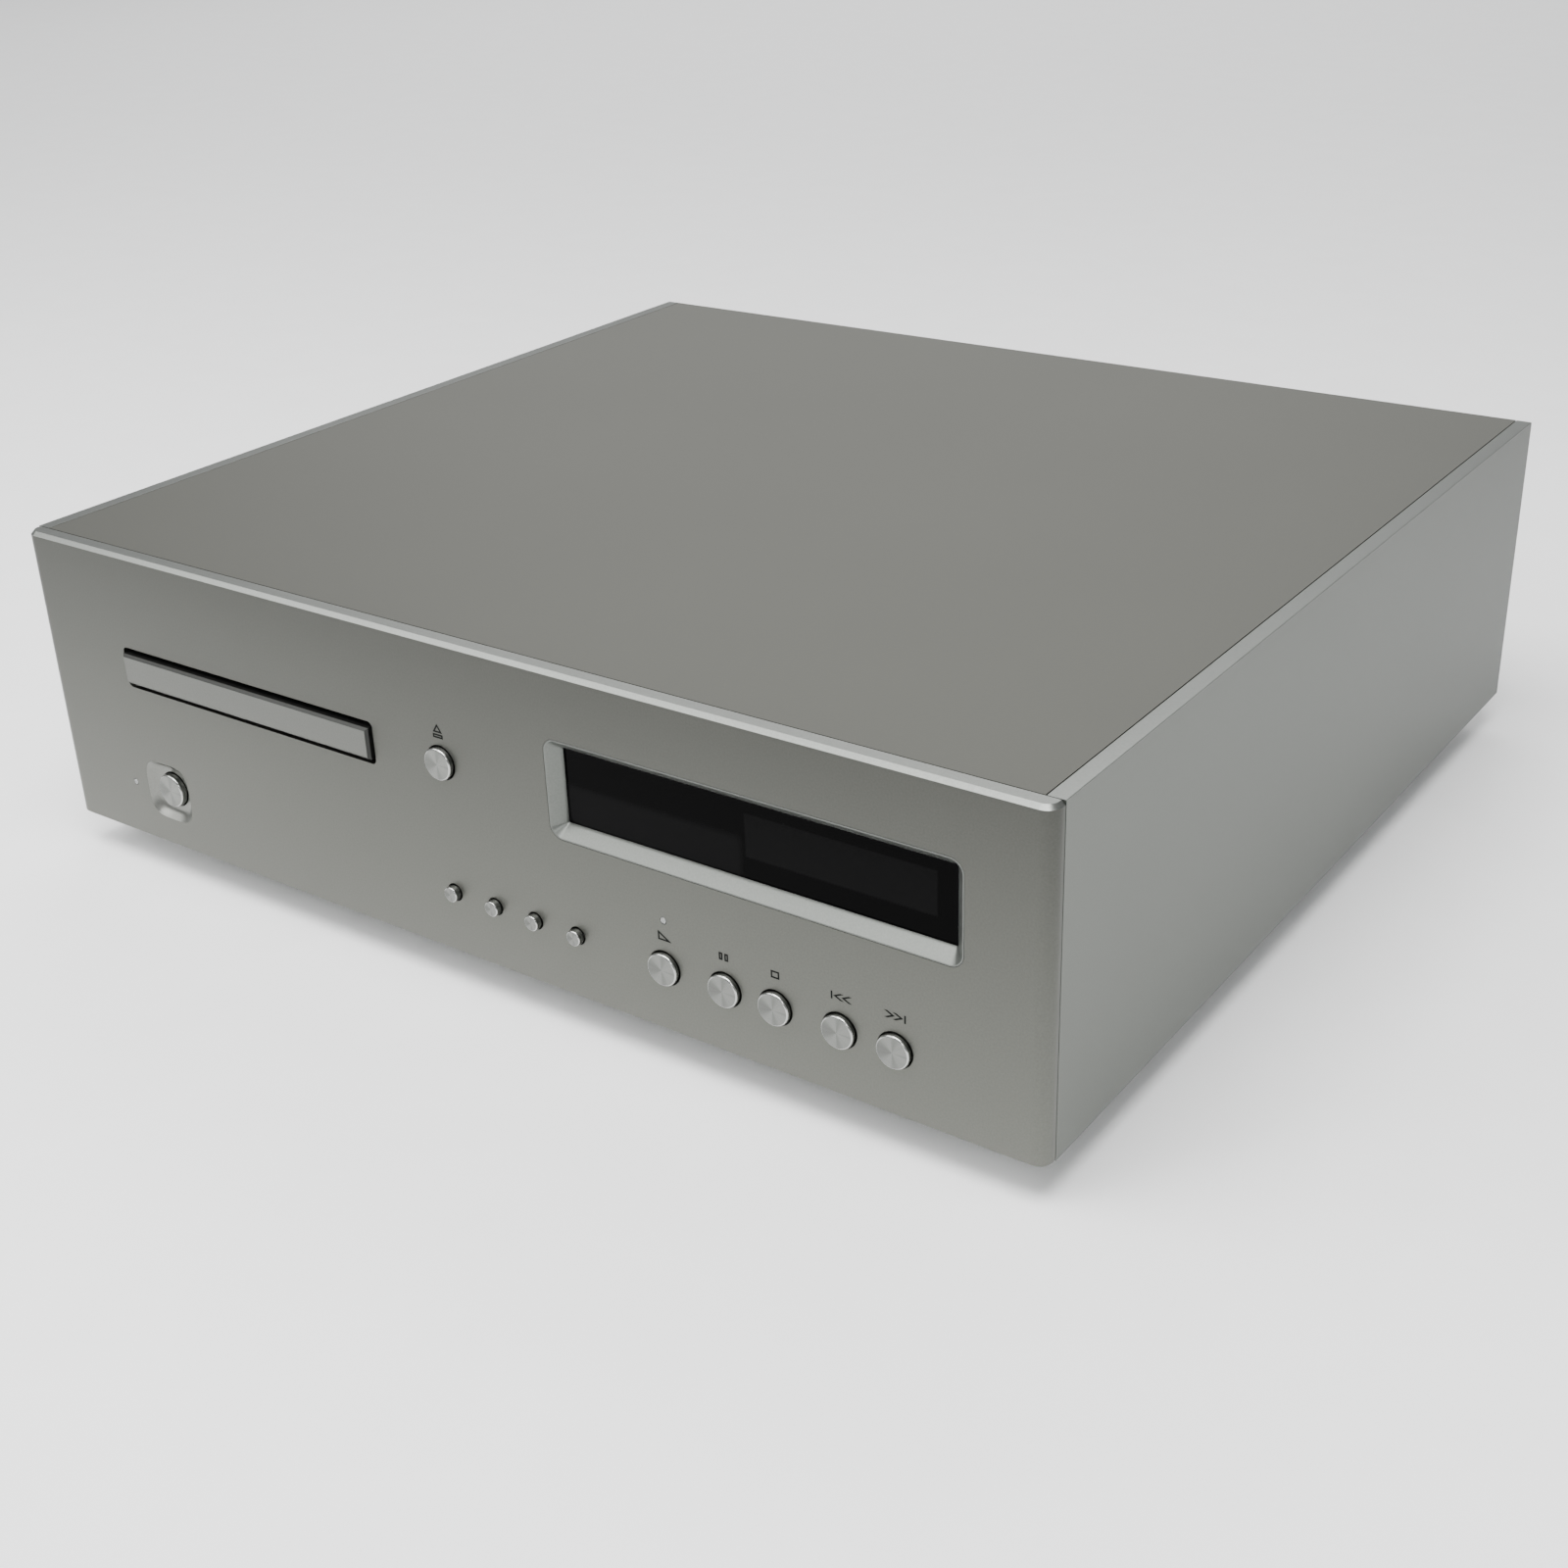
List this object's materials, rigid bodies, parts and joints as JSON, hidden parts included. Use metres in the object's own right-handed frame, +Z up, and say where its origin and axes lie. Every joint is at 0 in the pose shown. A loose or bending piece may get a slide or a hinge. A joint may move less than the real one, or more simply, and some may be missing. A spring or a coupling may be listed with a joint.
{
  "type": "sacd player",
  "caption": "Wide flat disc player with a loading tray, a recessed display window and round push buttons on its front.",
  "frame": {"origin": "middle of the footprint on the floor, under the middle of the overall box", "axes": "+X to the right end of the front panel, +Y to the rear, +Z up"},
  "size_m": [0.44, 0.4106, 0.133],
  "materials": {
    "panel_aluminium": "fine bead-blasted silver anodising",
    "side_aluminium": "fine bead-blasted silver anodising",
    "cover_metal": "satin silver-grey fine-texture paint",
    "button_aluminium": "turned faces with polished edges",
    "tray_front_aluminium": "fine satin anodising with cut edges",
    "window_glass": "smoked clear acrylic, glossy",
    "display_black": "black display frame and board",
    "lamp_plastic": "clear lamp tip",
    "chassis_steel": "zinc-plated steel sheet",
    "rear_metal": "satin silver-grey paint",
    "black_plastic": "black moulded plastic",
    "gear_plastic": "natural acetal",
    "rubber": "soft black rubber",
    "foot_metal": "black satin",
    "motor_steel": "plated steel can",
    "traverse_metal": "cast and coated frame",
    "bright_steel": "ground rods and plated screws",
    "lens_glass": "coated lens",
    "board": "green solder mask",
    "capacitor_sleeve": "dark sleeve",
    "transformer_wrap": "amber tape wrap",
    "clamp_steel": "plated steel",
    "heat_sink_black": "black anodised fins",
    "jack_brass": "gold-plated brass"
  },
  "bodies": {
    "root": {"front_panel": "panel_aluminium", "display_bezel": "panel_aluminium", "display_window": "window_glass", "left_side_panel": "side_aluminium", "right_side_panel": "side_aluminium", "top_cover": "cover_metal", "bottom_plate": "chassis_steel", "rear_panel": "rear_metal", "front_subplate": "chassis_steel", "indicator_lamps": "lamp_plastic", "key_board": "board", "key_switches": "black_plastic", "display_module": "display_black", "loading_belt": "rubber", "loading_motor": "motor_steel", "transport_pillars": "black_plastic", "transport_base": "black_plastic", "clamp_bridge": "chassis_steel", "power_board": "board", "filter_capacitors": "capacitor_sleeve", "heat_sink": "heat_sink_black", "power_transformer": "transformer_wrap", "transformer_clamp": "clamp_steel", "digital_board": "board", "audio_board": "board", "chassis_partition": "chassis_steel", "phono_jacks": "jack_brass", "xlr_connectors": "black_plastic", "optical_ports": "black_plastic", "mains_inlet": "black_plastic", "feet": "foot_metal", "foot_pads": "rubber", "screws": "bright_steel"},
    "tray_assembly": {"tray": "black_plastic", "tray_front": "tray_front_aluminium"},
    "drive_gear": {"drive_gear": "gear_plastic"},
    "pulley_gear": {"pulley_gear": "gear_plastic"},
    "motor_pulley": {"motor_pulley": "gear_plastic"},
    "cam_slider": {"cam_slider": "gear_plastic"},
    "traverse": {"traverse_frame": "traverse_metal", "guide_rods": "bright_steel", "spindle_motor": "motor_steel", "feed_motor": "motor_steel"},
    "turntable": {"turntable": "black_plastic"},
    "clamp_puck": {"clamp_puck": "black_plastic"},
    "pickup_sled": {"pickup_sled": "traverse_metal"},
    "objective_lens": {"objective_lens": "lens_glass"},
    "feed_gear": {"feed_gear": "gear_plastic"},
    "feed_motor_pinion": {"feed_motor_pinion": "gear_plastic"},
    "power_button": {"power_button": "button_aluminium"},
    "eject_button": {"eject_button": "button_aluminium"},
    "play_button": {"play_button": "button_aluminium"},
    "pause_button": {"pause_button": "button_aluminium"},
    "stop_button": {"stop_button": "button_aluminium"},
    "previous_button": {"previous_button": "button_aluminium"},
    "next_button": {"next_button": "button_aluminium"},
    "mode_button_1": {"mode_button_1": "button_aluminium"},
    "mode_button_2": {"mode_button_2": "button_aluminium"},
    "mode_button_3": {"mode_button_3": "button_aluminium"},
    "mode_button_4": {"mode_button_4": "button_aluminium"}
  },
  "joints": [
    {"name": "power_button_press", "type": "slide", "parent": "root", "child": "power_button", "axis": [0, 1, 0], "range_m": [0, 0.001], "stiffness_N_per_m": 200, "springref_m": -0.002},
    {"name": "eject_button_press", "type": "slide", "parent": "root", "child": "eject_button", "axis": [0, 1, 0], "range_m": [0, 0.001], "stiffness_N_per_m": 200, "springref_m": -0.002},
    {"name": "play_button_press", "type": "slide", "parent": "root", "child": "play_button", "axis": [0, 1, 0], "range_m": [0, 0.001], "stiffness_N_per_m": 200, "springref_m": -0.002},
    {"name": "pause_button_press", "type": "slide", "parent": "root", "child": "pause_button", "axis": [0, 1, 0], "range_m": [0, 0.001], "stiffness_N_per_m": 200, "springref_m": -0.002},
    {"name": "stop_button_press", "type": "slide", "parent": "root", "child": "stop_button", "axis": [0, 1, 0], "range_m": [0, 0.001], "stiffness_N_per_m": 200, "springref_m": -0.002},
    {"name": "previous_button_press", "type": "slide", "parent": "root", "child": "previous_button", "axis": [0, 1, 0], "range_m": [0, 0.001], "stiffness_N_per_m": 200, "springref_m": -0.002},
    {"name": "next_button_press", "type": "slide", "parent": "root", "child": "next_button", "axis": [0, 1, 0], "range_m": [0, 0.001], "stiffness_N_per_m": 200, "springref_m": -0.002},
    {"name": "mode_button_1_press", "type": "slide", "parent": "root", "child": "mode_button_1", "axis": [0, 1, 0], "range_m": [0, 0.0008], "stiffness_N_per_m": 100, "springref_m": -0.002},
    {"name": "mode_button_2_press", "type": "slide", "parent": "root", "child": "mode_button_2", "axis": [0, 1, 0], "range_m": [0, 0.0008], "stiffness_N_per_m": 100, "springref_m": -0.002},
    {"name": "mode_button_3_press", "type": "slide", "parent": "root", "child": "mode_button_3", "axis": [0, 1, 0], "range_m": [0, 0.0008], "stiffness_N_per_m": 100, "springref_m": -0.002},
    {"name": "mode_button_4_press", "type": "slide", "parent": "root", "child": "mode_button_4", "axis": [0, 1, 0], "range_m": [0, 0.0008], "stiffness_N_per_m": 100, "springref_m": -0.002},
    {"name": "tray_slide", "type": "slide", "parent": "root", "child": "tray_assembly", "axis": [0, -1, 0], "range_m": [0, 0.138]},
    {"name": "drive_gear_spin", "type": "hinge", "parent": "root", "child": "drive_gear", "pos_m": [-0.1434, -0.17615, 0.0857], "axis": [0, 0, 1], "range_deg": [0, 659]},
    {"name": "pulley_gear_spin", "type": "hinge", "parent": "root", "child": "pulley_gear", "pos_m": [-0.1254, -0.17615, 0.0857], "axis": [0, 0, 1], "range_deg": [-1318, 0]},
    {"name": "motor_pulley_spin", "type": "hinge", "parent": "root", "child": "motor_pulley", "pos_m": [-0.0774, -0.17615, 0.061], "axis": [0, 0, 1], "range_deg": [-4119, 0]},
    {"name": "traverse_tilt", "type": "hinge", "parent": "root", "child": "traverse", "pos_m": [-0.1074, -0.04265, 0.068], "axis": [1, 0, 0], "range_deg": [0, 4.3]},
    {"name": "cam_slide", "type": "slide", "parent": "root", "child": "cam_slider", "axis": [1, 0, 0], "range_m": [0, 0.0241]},
    {"name": "turntable_spin", "type": "hinge", "parent": "traverse", "child": "turntable", "pos_m": [-0.1074, -0.12765, 0.09], "axis": [0, 0, 1], "continuous": true},
    {"name": "clamp_spin", "type": "hinge", "parent": "root", "child": "clamp_puck", "pos_m": [-0.1074, -0.12765, 0.096], "axis": [0, 0, 1], "continuous": true},
    {"name": "sled_slide", "type": "slide", "parent": "traverse", "child": "pickup_sled", "axis": [0, 1, 0], "range_m": [0, 0.034]},
    {"name": "feed_gear_spin", "type": "hinge", "parent": "traverse", "child": "feed_gear", "pos_m": [-0.0716, -0.07865, 0.0715], "axis": [0, 0, 1], "range_deg": [-325, 0]},
    {"name": "feed_pinion_spin", "type": "hinge", "parent": "traverse", "child": "feed_motor_pinion", "pos_m": [-0.0624, -0.07865, 0.0715], "axis": [0, 0, 1], "range_deg": [0, 609]},
    {"name": "lens_focus", "type": "slide", "parent": "pickup_sled", "child": "objective_lens", "axis": [0, 0, 1], "range_m": [-0.0003, 0.0005], "stiffness_N_per_m": 60, "springref_m": 0.00008}
  ],
  "couplings": [
    {"joint": "drive_gear_spin", "follows": "tray_slide", "rad_per_m": 83.333},
    {"joint": "pulley_gear_spin", "follows": "tray_slide", "rad_per_m": -166.67},
    {"joint": "motor_pulley_spin", "follows": "tray_slide", "rad_per_m": -520.83},
    {"joint": "cam_slide", "follows": "traverse_tilt", "m_per_rad": 0.32},
    {"joint": "clamp_spin", "follows": "turntable_spin", "ratio": 1},
    {"joint": "feed_gear_spin", "follows": "sled_slide", "rad_per_m": -166.67},
    {"joint": "feed_pinion_spin", "follows": "sled_slide", "rad_per_m": 312.5}
  ]
}
